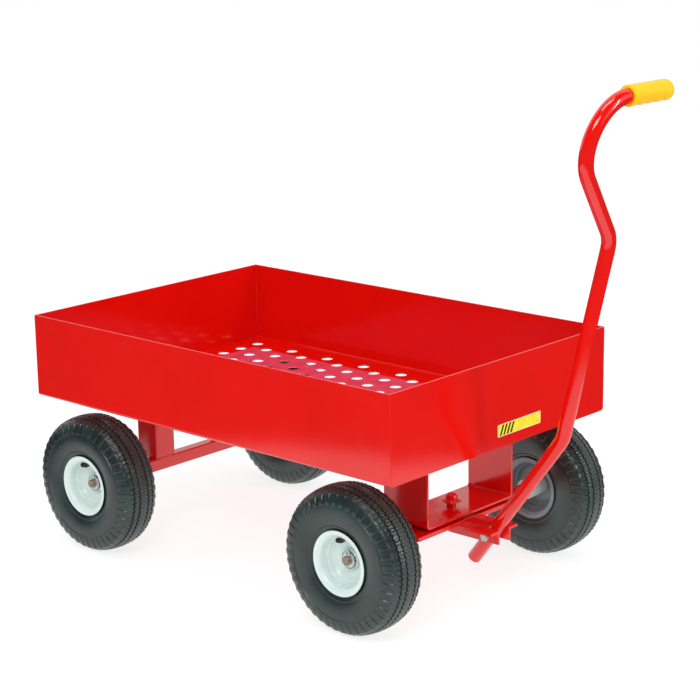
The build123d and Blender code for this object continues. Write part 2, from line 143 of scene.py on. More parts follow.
# A sheet of white acrylic lit from below lies under the wagon. Gloss sees it out to about
# a metre, and past that the dark floor of the studio.
SHEET_R = 1.05
SHEET_END = 1.15
acrylic, tree, shader, place = new_material(
    "lit_white_acrylic", Roughness=1.0, Specular_IOR_Level=0.0, Emission_Strength=0.80
)
shader.inputs["Emission Color"].default_value = linear("#FFFFFF")
grain = add_node(tree, "ShaderNodeTexNoise", {"Vector": place, "Scale": 1.5, "Detail": 2.0})
shade = add_node(
    tree,
    "ShaderNodeValToRGB",
    {"Fac": grain.outputs["Fac"]},
    stops=[(0.3, "#999999"), (0.7, "#9E9E9E")],
).outputs["Color"]
tree.links.new(shade, shader.inputs["Base Color"])
away = add_node(tree, "ShaderNodeVectorMath", {0: place}, operation="LENGTH")
lit = add_node(
    tree,
    "ShaderNodeMapRange",
    {
        "Value": away.outputs["Value"],
        "From Min": SHEET_R,
        "From Max": SHEET_END,
        "To Min": 0.95,
        "To Max": 0.05,
    },
)
glow = add_node(
    tree, "ShaderNodeEmission", {"Color": linear("#FFFFFF"), "Strength": lit.outputs["Result"]}
)
ray = add_node(tree, "ShaderNodeLightPath")
split = add_node(tree, "ShaderNodeMixShader", {"Fac": ray.outputs["Is Glossy Ray"]})
tree.links.new(shader.outputs["BSDF"], split.inputs[1])
tree.links.new(glow.outputs["Emission"], split.inputs[2])
tree.links.new(split.outputs["Shader"], tree.nodes["Material Output"].inputs["Surface"])
floor_data.materials.append(acrylic)


def soft_light(name, place, aim, wide, high, power):
    """A rectangular soft box that points at a spot on the wagon."""
    data = bpy.data.lights.new(name, "AREA")
    data.shape = "RECTANGLE"
    data.size = wide
    data.size_y = high
    data.energy = power
    lamp = bpy.data.objects.new(name, data)
    lamp.location = place
    lamp.rotation_euler = (Vector(aim) - Vector(place)).to_track_quat("-Z", "Y").to_euler()
    scene.collection.objects.link(lamp)


soft_light("key_light", (1.6, -3.0, 3.1), (-0.1, 0.0, 0.3), 2.0, 1.4, 64.0)
soft_light("front_strip", (3.4, 1.2, 1.9), (0.4, 0.0, 0.6), 0.3, 1.8, 26.0)
soft_light("top_light", (0.5, -0.5, 4.0), (-0.3, 0.2, 0.4), 2.0, 1.2, 36.0)

# Camera at the height of a standing person, seen from the wagon's front right.
CAMERA_PLACE = (2.3674, -2.6515, 1.3276)
CAMERA_AZIMUTH = math.radians(42.375)
CAMERA_ELEVATION = math.radians(14.278)
CAMERA_ROLL = math.radians(-0.871)
camera_data = bpy.data.cameras.new("camera")
camera_data.sensor_width = 36.0
camera_data.lens = 101.55
camera_data.clip_end = 60.0
camera = bpy.data.objects.new("camera", camera_data)
camera.matrix_world = (
    Matrix.Translation(CAMERA_PLACE)
    @ Matrix.Rotation(CAMERA_AZIMUTH, 4, "Z")
    @ Matrix.Rotation(math.pi / 2 - CAMERA_ELEVATION, 4, "X")
    @ Matrix.Rotation(CAMERA_ROLL, 4, "Z")
)
scene.collection.objects.link(camera)
scene.camera = camera


# ---------------------------------------------------------------- enamelled steelwork
# The tray, bolster, legs and swivel gear are cut and bent from mild steel sheet and plate
# and welded together. They are finished in glossy orange-red enamel, baked over primer.

MM = 0.001
PAINTED_LIGHT_FROM = 60 * MM  # from the walls to where the painted light on the deck begins
PAINTED_LIGHT_FULL = 68 * MM


def red_enamel(name, painted_light_floor=None):
    """Baked alkyd enamel: a hard clear gloss, a faint orange peel and paler sharp edges, part worn
    paint and part painted highlight.
    """
    material, tree, shader, place = new_material(name, IOR=1.5, Specular_IOR_Level=0.8)
    cloud = add_node(tree, "ShaderNodeTexNoise", {"Vector": place, "Scale": 5.0, "Detail": 3.0})
    body = add_node(
        tree,
        "ShaderNodeValToRGB",
        {"Fac": cloud.outputs["Fac"]},
        stops=[(0.3, "#DE0C04"), (0.7, "#E61007")],
    ).outputs["Color"]
    dust_and_light_noise = add_node(tree, "ShaderNodeTexNoise", {"Vector": place, "Scale": 30.0, "Detail": 6.0})
    # Worn and thinner paint, together with a painted highlight, makes the outermost millimetre of
    # every edge paler pink.
    rounded = add_node(tree, "ShaderNodeBevel", {"Radius": 1.2 * MM}, samples=4)
    true_normal = add_node(tree, "ShaderNodeNewGeometry").outputs["Normal"]
    turn = add_node(
        tree,
        "ShaderNodeVectorMath",
        {0: rounded.outputs["Normal"], 1: true_normal},
        operation="DOT_PRODUCT",
    )
    scuff = add_node(tree, "ShaderNodeTexNoise", {"Vector": place, "Scale": 140.0, "Detail": 4.0})
    edge = add_node(
        tree,
        "ShaderNodeMapRange",
        {"Value": turn.outputs["Value"], "From Min": 0.985, "From Max": 0.90, "To Max": 0.55},
    )
    edge_wear_and_highlight = add_node(
        tree,
        "ShaderNodeMath",
        {0: edge.outputs["Result"], 1: scuff.outputs["Fac"]},
        operation="MULTIPLY",
    )
    colour = add_node(
        tree,
        "ShaderNodeMix",
        {"Factor": edge_wear_and_highlight.outputs["Value"], "A": body, "B": linear("#F2606A")},
        data_type="RGBA",
    )
    finish = colour.outputs["Result"]
    if painted_light_floor:
        # Painted light: the deck is painted paler pink as if lit, and a band about 60 mm wide along
        # the walls keeps the darker red as their painted shadow.
        low, high = painted_light_floor
        centred = add_node(
            tree,
            "ShaderNodeVectorMath",
            {0: place, 1: (low + high) / 2},
            operation="SUBTRACT",
        )
        apart = add_node(
            tree, "ShaderNodeVectorMath", {0: centred.outputs["Vector"]}, operation="ABSOLUTE"
        )
        axes = add_node(tree, "ShaderNodeSeparateXYZ", {"Vector": apart.outputs["Vector"]})
        painted_light_mask = 1.0
        for axis, reach in (("X", (high.x - low.x) / 2), ("Y", (high.y - low.y) / 2)):
            inside = add_node(
                tree,
                "ShaderNodeMapRange",
                {
                    "Value": axes.outputs[axis],
                    "From Min": reach - PAINTED_LIGHT_FULL,
                    "From Max": reach - PAINTED_LIGHT_FROM,
                    "To Min": 1.0,
                    "To Max": 0.0,
                },
            )
            part = add_node(
                tree,
                "ShaderNodeMath",
                {0: inside.outputs["Result"], 1: painted_light_mask},
                operation="MULTIPLY",
            )
            painted_light_mask = part.outputs["Value"]
        blend = add_node(
            tree,
            "ShaderNodeMath",
            {0: painted_light_mask, 1: dust_and_light_noise.outputs["Fac"]},
            operation="MULTIPLY",
        )
        paler = add_node(
            tree,
            "ShaderNodeMix",
            {"Factor": blend.outputs["Value"], "A": finish, "B": linear("#DC6C90")},
            data_type="RGBA",
        )
        finish = paler.outputs["Result"]
    tree.links.new(finish, shader.inputs["Base Color"])
    # Orange peel has waves of about 3 mm; fine dust makes the gloss slightly uneven.
    peel = add_node(tree, "ShaderNodeTexNoise", {"Vector": place, "Scale": 330.0, "Detail": 1.0})
    bump = add_node(
        tree,
        "ShaderNodeBump",
        {"Height": peel.outputs["Fac"], "Strength": 0.06, "Distance": 0.3 * MM},
    )
    tree.links.new(bump.outputs["Normal"], shader.inputs["Normal"])
    haze = add_node(
        tree,
        "ShaderNodeMapRange",
        {"Value": dust_and_light_noise.outputs["Fac"], "To Min": 0.07, "To Max": 0.17},
    )
    tree.links.new(haze.outputs["Result"], shader.inputs["Roughness"])
    return material


enamel = red_enamel("baked_red_enamel")


def finish_mesh(bm, name, material, crease=35.0):
    """Turns a bmesh into a shaded object with sharp edges kept where it turns hard."""
    data = bpy.data.meshes.new(name)
    bm.to_mesh(data)
    bm.free()
    data.materials.append(material)
    data.shade_smooth()
    data.set_sharp_from_angle(angle=math.radians(crease))
    piece = bpy.data.objects.new(name, data)
    scene.collection.objects.link(piece)
    return piece


record = frame["record"]
node_body = {node: body for body, nodes in record["behaviour"]["bodies"].items() for node in nodes}


def stands_for(piece, node):
    """The piece takes over a CAD node: it rides on the node's body, and the node is hidden."""
    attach(piece, node_body[node])
    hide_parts(node)


def eased_plate(node, name, material, ease, segments=2):
    """A plate or bar of the frame with its cut edges eased, as deburring leaves them."""
    bm = bmesh.new()
    bm.from_mesh(frame["nodes"][node].data)
    bmesh.ops.remove_doubles(bm, verts=bm.verts, dist=0.002 * MM)
    bmesh.ops.dissolve_limit(bm, angle_limit=math.radians(0.5), verts=bm.verts, edges=bm.edges)
    piece = finish_mesh(bm, name, material)
    soften = piece.modifiers.new("eased_edges", "BEVEL")
    soften.width = ease
    soften.segments = segments
    soften.limit_method = "ANGLE"
    soften.angle_limit = math.radians(40)
    soften.harden_normals = True
    stands_for(piece, node)
    return piece


for node in ("side_panel_right", "side_panel_left", "front_end_panel", "rear_end_panel"):
    eased_plate(node, f"tray_{node}", enamel, 0.45 * MM)
for node in ("front_bolster", "rear_leg_right", "rear_leg_left"):
    eased_plate(node, f"bent_{node}", enamel, 0.8 * MM)
for node in ("rear_axle_beam", "swivel_plate", "axle_carriers"):
    eased_plate(node, f"welded_{node}", enamel, 0.9 * MM)
for node in ("tongue_angle_right", "tongue_angle_left"):
    eased_plate(node, f"rolled_{node}", enamel, 0.7 * MM)
# The deck's enamel carries a painted pool of light, with painted shadow along the walls.
deck_enamel_painted_light = red_enamel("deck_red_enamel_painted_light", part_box("perforated_deck"))
eased_plate("perforated_deck", "punched_deck", deck_enamel_painted_light, 0.35 * MM)

# ---------------------------------------------------------------- weld beads
# A gas-shielded bead is a row of small overlapping ripples, left as laid and enamelled
# with the rest. Each run is a rod of weld half sunk into the corner it fills.

RIPPLE = 2.2 * MM  # from one ripple to the next
SWELL = 0.10  # ripple's rise, as a share of the bead's radius
TRAY_BEAD = 2.4 * MM
BEAM_BEAD = 2.2 * MM
TONGUE_BEAD = 2.4 * MM
CORNER_BEAD = 2.0 * MM


def weld(name, start, end, size, body):
    """One run of weld from start to end."""
    start, end = Vector(start), Vector(end)
    along = (end - start).normalized()
    bm = bmesh.new()
    facing = Matrix.Translation(start) @ along.to_track_quat("Z", "Y").to_matrix().to_4x4()
    bmesh.ops.create_circle(bm, segments=10, radius=size * 0.8, cap_ends=True, matrix=facing)
    faces = list(bm.faces)
    steps = max(4, round((end - start).length / RIPPLE) * 4)
    for step in range(steps):
        grown = bmesh.ops.extrude_face_region(bm, geom=faces)["geom"]
        if step:
            bmesh.ops.delete(bm, geom=faces, context="FACES_ONLY")
        faces = [part for part in grown if isinstance(part, bmesh.types.BMFace)]
        ring = [part for part in grown if isinstance(part, bmesh.types.BMVert)]
        bmesh.ops.translate(bm, vec=(end - start) / steps, verts=ring)
        here = start + (end - start) * (step + 1) / steps
        swell = 1.0 + SWELL * math.cos(math.tau * (step % 4) / 4)
        before = 1.0 + SWELL * math.cos(math.tau * ((step - 1) % 4) / 4)
        bmesh.ops.scale(
            bm, vec=[swell / before] * 3, space=Matrix.Translation(-here), verts=ring
        )
    bmesh.ops.recalc_face_normals(bm, faces=bm.faces)
    bead = finish_mesh(bm, name, enamel, crease=60.0)
    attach(bead, body)


def corners_of(node):
    """Lowest and highest corner of a node, as six plain numbers."""
    low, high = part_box(node)
    return low.x, low.y, low.z, high.x, high.y, high.z


for node in ("rear_leg_right", "rear_leg_left", "front_bolster"):
    x0, y0, z0, x1, y1, z1 = corners_of(node)
    sides = (y0, y1) if node == "front_bolster" else ((y0,) if y0 < 0 else (y1,))
    for count, y in enumerate(sides):
        weld(
            f"weld_{node}_to_tray_{count}",
            (x0 + 10 * MM, y, z1 - 0.4 * MM),
            (x1 - 10 * MM, y, z1 - 0.4 * MM),
            TRAY_BEAD,
            "chassis",
        )
for node in ("rear_leg_right", "rear_leg_left"):
    x0, y0, z0, x1, y1, z1 = corners_of(node)
    weld(
        f"weld_{node}_to_beam",
        (x1 - 0.6 * MM, y0 + 9 * MM, z0),
        (x1 - 0.6 * MM, y1 - 9 * MM, z0),
        BEAM_BEAD,
        "chassis",
    )
front = corners_of("swivel_plate")[3]
for node in ("tongue_angle_right", "tongue_angle_left"):
    x0, y0, z0, x1, y1, z1 = corners_of(node)
    weld(
        f"weld_{node}",
        (front, y0 + 2 * MM, z1),
        (front, y1 - 2 * MM, z1),
        TONGUE_BEAD,
        "steering",
    )

# Inside the tray the sides and ends meet in four upright welds, ground smooth outside.
left, right = corners_of("side_panel_left"), corners_of("side_panel_right")
sheet = corners_of("front_end_panel")[3] - corners_of("front_end_panel")[0]
for end, x in (("front", left[3] - sheet), ("rear", left[0] + sheet)):
    for hand, y in (("left", left[4] - sheet), ("right", right[1] + sheet)):
        weld(
            f"weld_tray_corner_{end}_{hand}",
            (x, y, left[2] + 8 * MM),
            (x, y, left[5] - 3 * MM),
            CORNER_BEAD,
            "chassis",
        )

# ---------------------------------------------------------------- kingpin
# The kingpin, welded to the swivel plate, turns in a plain steel bush in the bolster. A
# pressed dome cap, driven on and painted over, keeps the bolster on the pin. A moulded
# nylon ring carries the bolster on the swivel plate.

joints = {joint["name"]: joint for joint in record["behaviour"]["joints"]}
STEER = Vector(joints["steer"]["pos_m"])


def spun(points, centre, axis, steps, outward=None):
    """A closed or open outline of (along axis, radius) points spun round an axis."""
    bm = bmesh.new()
    axis = Vector(axis).normalized()
    across = Vector(outward) if outward else axis.orthogonal().normalized()
    corners = [bm.verts.new(centre + axis * a + across * r) for a, r in points]
    edges = [bm.edges.new(pair) for pair in zip(corners, corners[1:])]
    bmesh.ops.spin(
        bm,
        geom=corners + edges,
        cent=centre,
        axis=axis,
        angle=math.tau,
        steps=steps,
        use_merge=True,
        use_duplicate=False,
    )
    bmesh.ops.remove_doubles(bm, verts=bm.verts, dist=0.01 * MM)
    bmesh.ops.recalc_face_normals(bm, faces=bm.faces)
    return bm


low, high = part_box("kingpin_cap")
cap_height = high.z - low.z
flange_r = (high.x - low.x) / 2
dome_r = 12.0 * MM
dome_base = 5.0 * MM
bore = 6.4 * MM
bore_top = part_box("kingpin")[1].z - low.z + 0.2 * MM
outline = [(bore_top, 0.0), (bore_top, bore), (0.0, bore)]
outline += [(0.0, flange_r - 0.6 * MM), (0.6 * MM, flange_r)]
outline += [(2.2 * MM, flange_r - 0.1 * MM), (3.0 * MM, flange_r - 1.0 * MM)]
outline += [(3.2 * MM, dome_r + 1.0 * MM), (4.0 * MM, dome_r)]
for step in range(9):
    angle = math.radians(90 * step / 8)
    outline.append(
        (dome_base + (cap_height - dome_base) * math.sin(angle), max(dome_r * math.cos(angle), 0.0))
    )
cap = finish_mesh(
    spun(outline, Vector((STEER.x, 0, low.z)), (0, 0, 1), 64), "kingpin_dome_cap", enamel
)
stands_for(cap, "kingpin_cap")
eased_plate("kingpin_bush", "kingpin_plain_bush", enamel, 0.4 * MM)


def bare_steel(name, hex_dark, hex_light, rough, metallic=1.0):
    """Drawn or turned steel: a metal whose fine drawing lines run along it."""
    material, tree, shader, place = new_material(name, Metallic=metallic)
    stretch = add_node(tree, "ShaderNodeMapping", {"Vector": place, "Scale": (900.0, 40.0, 900.0)})
    lines = add_node(
        tree, "ShaderNodeTexNoise", {"Vector": stretch.outputs["Vector"], "Scale": 1.0, "Detail": 3.0}
    )
    spots = add_node(tree, "ShaderNodeTexNoise", {"Vector": place, "Scale": 260.0, "Detail": 4.0})
    colour = add_node(
        tree,
        "ShaderNodeValToRGB",
        {"Fac": spots.outputs["Fac"]},
        stops=[(0.35, hex_dark), (0.65, hex_light)],
    ).outputs["Color"]
    tree.links.new(colour, shader.inputs["Base Color"])
    gloss = add_node(
        tree,
        "ShaderNodeMapRange",
        {"Value": spots.outputs["Fac"], "To Min": rough - 0.08, "To Max": rough + 0.12},
    )
    tree.links.new(gloss.outputs["Result"], shader.inputs["Roughness"])
    bump = add_node(
        tree,
        "ShaderNodeBump",
        {"Height": lines.outputs["Fac"], "Strength": 0.25, "Distance": 0.05 * MM},
    )
    tree.links.new(bump.outputs["Normal"], shader.inputs["Normal"])
    return material


drawn_steel = bare_steel("drawn_axle_steel", "#8A7466", "#B6A292", 0.38, metallic=0.7)
eased_plate("kingpin", "kingpin_pin", drawn_steel, 0.3 * MM)


def black_nylon():
    """Moulded nylon: near black, with a soft-edged gloss that a fine grain breaks up."""
    material, tree, shader, place = new_material("moulded_black_nylon", IOR=1.53)
    grain = add_node(tree, "ShaderNodeTexNoise", {"Vector": place, "Scale": 500.0, "Detail": 3.0})
    colour = add_node(
        tree,
        "ShaderNodeValToRGB",
        {"Fac": grain.outputs["Fac"]},
        stops=[(0.3, "#17181A"), (0.7, "#26282B")],
    ).outputs["Color"]
    tree.links.new(colour, shader.inputs["Base Color"])
    gloss = add_node(
        tree, "ShaderNodeMapRange", {"Value": grain.outputs["Fac"], "To Min": 0.3, "To Max": 0.5}
    )
    tree.links.new(gloss.outputs["Result"], shader.inputs["Roughness"])
    return material


nylon = black_nylon()
eased_plate("wear_ring", "nylon_wear_ring", nylon, 0.3 * MM)

# ---------------------------------------------------------------- tongue pivot
# A zinc-plated hexagon bolt passes through both tongue angles and the handle's tube. Its
# lock nut clamps the angles on the tube, so the handle stays where it is parked.

zinc = bare_steel("passivated_zinc_plate", "#C3CCC8", "#E6EEEA", 0.36, metallic=0.5)
eased_plate("pivot_bolt", "pivot_hexagon_bolt", zinc, 0.5 * MM)
eased_plate("pivot_nut", "pivot_lock_nut", zinc, 0.5 * MM)

# ---------------------------------------------------------------- pull handle
# One length of 25 mm steel tube, cold bent three times and enamelled with the rest. It is
# drilled for the pivot bolt, and left open at its tail, which stops it when it is lowered.

PIVOT = Vector(joints["handle_tilt"]["pos_m"])
TUBE_R = 12.7 * MM
TUBE_WALL = 2.4 * MM
TAIL = 67.6 * MM
LOWER_RUN = 257.5 * MM
LOWER_LEAN = math.radians(36.8)
MIDDLE_RUN = 374.0 * MM
MIDDLE_LEAN = math.radians(14.06)
CROOK_RISE = 252.5 * MM
SIDE_LEAN = math.radians(41.5)
KNEE_R = 55.0 * MM
CROOK_R = 80.0 * MM
GRIP_CAP = 9.5 * MM  # from the tube's end to the grip's

lower = Vector((math.sin(LOWER_LEAN), 0, math.cos(LOWER_LEAN)))
middle = Vector((math.sin(MIDDLE_LEAN), 0, math.cos(MIDDLE_LEAN)))
knee = PIVOT + lower * LOWER_RUN
side_bend = knee + middle * MIDDLE_RUN
grip_low, grip_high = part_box("hand_grip")
grip_line = knee + middle * (MIDDLE_RUN + CROOK_RISE)
crook = grip_line - Vector((0, CROOK_RISE * math.tan(SIDE_LEAN), 0))
tube_end = Vector((grip_line.x, grip_high.y - GRIP_CAP, grip_line.z))


def bent_tube(points, radii, outside, sides):
    """A round tube or rod along straight runs joined by arcs, without end caps."""
    bm = bmesh.new()
    here = points[0]
    onward = (points[1] - here).normalized()
    facing = Matrix.Translation(here) @ onward.to_track_quat("Z", "Y").to_matrix().to_4x4()
    bmesh.ops.create_circle(bm, segments=sides, radius=outside, cap_ends=False, matrix=facing)
    ring = list(bm.edges)

    def run(edges, move):
        grown = bmesh.ops.extrude_edge_only(bm, edges=edges)["geom"]
        moved = [part for part in grown if isinstance(part, bmesh.types.BMVert)]
        bmesh.ops.translate(bm, vec=move, verts=moved)
        return [part for part in grown if isinstance(part, bmesh.types.BMEdge)]

    for corner, after, radius in zip(points[1:], points[2:], radii):
        ahead, turned = (corner - here).normalized(), (after - corner).normalized()
        turn = ahead.angle(turned)
        reach = radius * math.tan(turn / 2)
        ring = run(ring, corner - ahead * reach - here)
        axis = ahead.cross(turned).normalized()
        swept = bmesh.ops.spin(
            bm,
            geom=ring,
            cent=corner - ahead * reach + axis.cross(ahead) * radius,
            axis=axis,
            angle=turn,
            steps=max(4, round(math.degrees(turn) / 3)),
            use_merge=False,
            use_duplicate=False,
        )
        ring = [part for part in swept["geom_last"] if isinstance(part, bmesh.types.BMEdge)]
        here = corner + turned * reach
    run(ring, points[-1] - here)
    return bm


bm = bent_tube(
    [PIVOT - lower * TAIL, knee, side_bend, crook, tube_end],
    [KNEE_R, KNEE_R, CROOK_R],
    TUBE_R,
    48,
)
bmesh.ops.recalc_face_normals(bm, faces=bm.faces)
handle = finish_mesh(bm, "bent_pull_handle", enamel)
wall = handle.modifiers.new("tube_wall", "SOLIDIFY")
wall.thickness = TUBE_WALL
wall.offset = -1.0
rim = handle.modifiers.new("deburred_ends", "BEVEL")
rim.width = 0.5 * MM
rim.segments = 2
rim.limit_method = "ANGLE"
rim.angle_limit = math.radians(50)
stands_for(handle, "pull_handle")

# ---------------------------------------------------------------- hand grip
# Soft vinyl, dip-moulded and pushed on wet: smooth on top, with shallow finger waves
# underneath and a round closed end.

GRIP_R = (grip_high.z - grip_low.z) / 2
FINGERS = 4
FINGER_DEPTH = 2.6 * MM
FINGER_START = 8.0 * MM
NOSE = 15.0 * MM  # length of the grip's round end


def yellow_vinyl():
    """Dipped vinyl: a saturated yellow with a soft waxy gloss."""
    material, tree, shader, place = new_material(
        "dipped_yellow_vinyl", IOR=1.5, Specular_IOR_Level=0.28
    )
    mottle = add_node(tree, "ShaderNodeTexNoise", {"Vector": place, "Scale": 60.0, "Detail": 4.0})
    colour = add_node(
        tree,
        "ShaderNodeValToRGB",
        {"Fac": mottle.outputs["Fac"]},
        stops=[(0.3, "#FBBE00"), (0.7, "#FFC800")],
    ).outputs["Color"]
    tree.links.new(colour, shader.inputs["Base Color"])
    gloss = add_node(
        tree, "ShaderNodeMapRange", {"Value": mottle.outputs["Fac"], "To Min": 0.3, "To Max": 0.48}
    )
    tree.links.new(gloss.outputs["Result"], shader.inputs["Roughness"])
    skin = add_node(tree, "ShaderNodeTexNoise", {"Vector": place, "Scale": 900.0, "Detail": 2.0})
    bump = add_node(
        tree,
        "ShaderNodeBump",
        {"Height": skin.outputs["Fac"], "Strength": 0.15, "Distance": 0.1 * MM},
    )
    tree.links.new(bump.outputs["Normal"], shader.inputs["Normal"])
    return material


grip_length = grip_high.y - grip_low.y
bore = TUBE_R + 0.1 * MM
outline = [(0.0, bore), (0.0, GRIP_R - 1.9 * MM), (0.5 * MM, GRIP_R - 1.0 * MM)]
outline += [(1.6 * MM, GRIP_R - 0.4 * MM), (6.0 * MM, GRIP_R - 0.5 * MM)]
straight = grip_length - NOSE
outline += [(6.0 * MM + (straight - 6.0 * MM) * i / 44, GRIP_R - 0.5 * MM) for i in range(1, 45)]
for step in range(1, 11):
    angle = math.radians(9 * step)
    outline.append(
        (straight + NOSE * math.sin(angle), max((GRIP_R - 0.5 * MM) * math.cos(angle), 0.0))
    )
outline += [(grip_length - 9.0 * MM, 0.0), (grip_length - 9.0 * MM, bore), (0.0, bore)]
grip_start = Vector((grip_line.x, grip_low.y, grip_line.z))
bm = spun(outline, grip_start, (0, 1, 0), 64)
for vert in bm.verts:
    along = vert.co.y - grip_start.y
    up = Vector((vert.co.x - grip_start.x, 0, vert.co.z - grip_start.z))
    if up.length < GRIP_R - 2.5 * MM or not FINGER_START < along < straight:
        continue
    # The fingers close on the side of the grip that faces the lower handle.
    under = max(-up.normalized().dot(middle), 0.0)
    reach = (along - FINGER_START) / (straight - FINGER_START)
    wave = 0.5 - 0.5 * math.cos(math.tau * FINGERS * reach)
    vert.co -= up.normalized() * FINGER_DEPTH * wave * under**0.7
grip = finish_mesh(bm, "moulded_hand_grip", yellow_vinyl(), crease=50.0)
stands_for(grip, "hand_grip")

# ---------------------------------------------------------------- label plate
# A printed vinyl label on the tray's front: yellow with a cream border and plain slanted
# caution stripes, and no lettering.


def printed(name, hex_low, hex_high):
    """Screen-printed vinyl: an even ink with a satin film over it."""
    material, tree, shader, place = new_material(name, IOR=1.45)
    ink = add_node(tree, "ShaderNodeTexNoise", {"Vector": place, "Scale": 120.0, "Detail": 3.0})
    colour = add_node(
        tree,
        "ShaderNodeValToRGB",
        {"Fac": ink.outputs["Fac"]},
        stops=[(0.3, hex_low), (0.7, hex_high)],
    ).outputs["Color"]
    tree.links.new(colour, shader.inputs["Base Color"])
    film = add_node(
        tree, "ShaderNodeMapRange", {"Value": ink.outputs["Fac"], "To Min": 0.22, "To Max": 0.34}
    )
    tree.links.new(film.outputs["Result"], shader.inputs["Roughness"])
    return material


low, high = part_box("label_plate")
STRIPES = 4
STRIPE_W = 5.0 * MM
STRIPE_START = 9.0 * MM  # from the label's right end
BORDER = 1.5 * MM
bm = bmesh.new()
bmesh.ops.create_cube(
    bm,
    size=1.0,
    matrix=Matrix.Translation((low + high) / 2) @ Matrix.Diagonal((*(high - low), 1.0)),
)
uprights = [e for e in bm.edges if abs(e.verts[0].co.x - e.verts[1].co.x) > 0.1 * MM]
bmesh.ops.bevel(
    bm, geom=uprights, offset=2.0 * MM, segments=4, profile=0.5, affect="EDGES", material=-1
)
face = [f for f in bm.faces if f.normal.x > 0.9]
border = bmesh.ops.inset_region(bm, faces=face, thickness=BORDER, use_even_offset=True)
for part in border["faces"]:
    part.material_index = 1
# The printed stripes are cut out of the yellow field by slanted lines.
slant = Vector((0, 1, -0.45)).normalized()
first = Vector((high.x, low.y + STRIPE_START, (low.z + high.z) / 2))
for count in range(2 * STRIPES):
    line = first + Vector((0, count * STRIPE_W, 0))
    field = [f for f in bm.faces if f.normal.x > 0.9 and f.material_index == 0]
    around = {part for f in field for part in (*f.verts, *f.edges)}
    bmesh.ops.bisect_plane(bm, geom=[*field, *around], plane_co=line, plane_no=slant)
for part in bm.faces:
    if part.normal.x > 0.9 and part.material_index == 0:
        stripe = (part.calc_center_median() - first).dot(slant) / (STRIPE_W * slant.y)
        if 0 < stripe < 2 * STRIPES - 1 and int(stripe) % 2 == 0:
            part.material_index = 2
yellow_ink = printed("printed_yellow_vinyl", "#F2E028", "#F8EA34")
label = finish_mesh(bm, "blank_front_label", yellow_ink)
label.data.materials.append(printed("printed_cream_vinyl", "#F6DFA4", "#FAE8B6"))
label.data.materials.append(printed("printed_black_ink", "#15130F", "#22201B"))
stands_for(label, "label_plate")

# ---------------------------------------------------------------- axles, washers and pins
# Cold-drawn 16 mm axles run through the hubs. Zinc-plated machine washers space each wheel,
# and a split pin of zinc-plated wire holds it on, its legs spread after it is pushed in.

for end in ("front", "rear"):
    eased_plate(f"{end}_axle", f"{end}_drawn_axle", drawn_steel, 0.3 * MM)
    eased_plate(f"{end}_axle_washers", f"{end}_machine_washers", zinc, 0.25 * MM)

PIN_R = 1.5 * MM
for end in ("front", "rear"):
    low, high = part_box(f"{end}_cotter_pins")
    centre_x = (low.x + high.x) / 2
    eye = (high.x - low.x) / 2 - PIN_R
    neck = high.z - 2 * eye - PIN_R
    both = bmesh.new()
    for y in (low.y + PIN_R + 0.1 * MM, high.y - PIN_R - 0.1 * MM):
        legs = [(-4.0 * MM, low.z + 1.0 * MM), (0.0, low.z + 4.5 * MM), (0.0, neck)]
        ring = [(eye, neck + 0.3 * eye), (eye, neck + 1.7 * eye), (0.0, neck + 2.0 * eye)]
        ring += [(-eye, neck + 1.7 * eye), (-eye, neck + 0.3 * eye), (-0.4 * eye, neck)]
        route = [Vector((centre_x + across, y, z)) for across, z in legs + ring]
        pin = bent_tube(route, [2.0 * MM, 1.2 * MM] + [0.6 * eye] * 5, PIN_R, 12)
        bmesh.ops.holes_fill(pin, edges=pin.edges)
        bmesh.ops.recalc_face_normals(pin, faces=pin.faces)
        one = bpy.data.meshes.new("pin")
        pin.to_mesh(one)
        pin.free()
        both.from_mesh(one)
        bpy.data.meshes.remove(one)
    pins = finish_mesh(both, f"{end}_split_pins", zinc, crease=60.0)
    stands_for(pins, f"{end}_cotter_pins")

# ---------------------------------------------------------------- tyres
# 4.10/3.50-4 pneumatic tyres: a ribbed tread with zigzag grooves, square shoulder bars,
# a raised ring below them and a smooth sidewall down to the rim.

TYRE_R = 134.6 * MM
RIB_DROP = 2.2 * MM  # from the tyre's middle to RIB_REACH beside it
RIB_REACH = 21.5 * MM
ROUNDING = 26.0  # per metre: how fast the tread falls off past ROUND_FROM
ROUND_FROM = 22.0 * MM
PITCHES = 44  # shoulder bars round the tyre
STEPS = PITCHES * 12
SIPE_D = 0.45 * MM  # fine cuts across the ribs
ZIGZAG = 1.9 * MM
GROOVE_W = 3.0 * MM
GROOVE_D = 3.6 * MM
BAR_H = 1.6 * MM
BAR_FOOT = 106.5 * MM  # radii from the axle
BAR_TOP = 126.3 * MM
GROOVE_FLOOR = 125.3 * MM
RIB_TOP = 129.0 * MM
TREAD_EDGE = 31.0 * MM  # from the tyre's middle plane
NOTCH = 0.25 * MM  # between two bars, at the tread's edge
GROOVES = (10.5 * MM, 23.0 * MM)


def crown(a):
    """Tread radius at a distance from the tyre's middle plane."""
    rounded = max(0.0, a - ROUND_FROM) ** 2 * ROUNDING
    return TYRE_R - RIB_DROP * (a / RIB_REACH) ** 2 - rounded


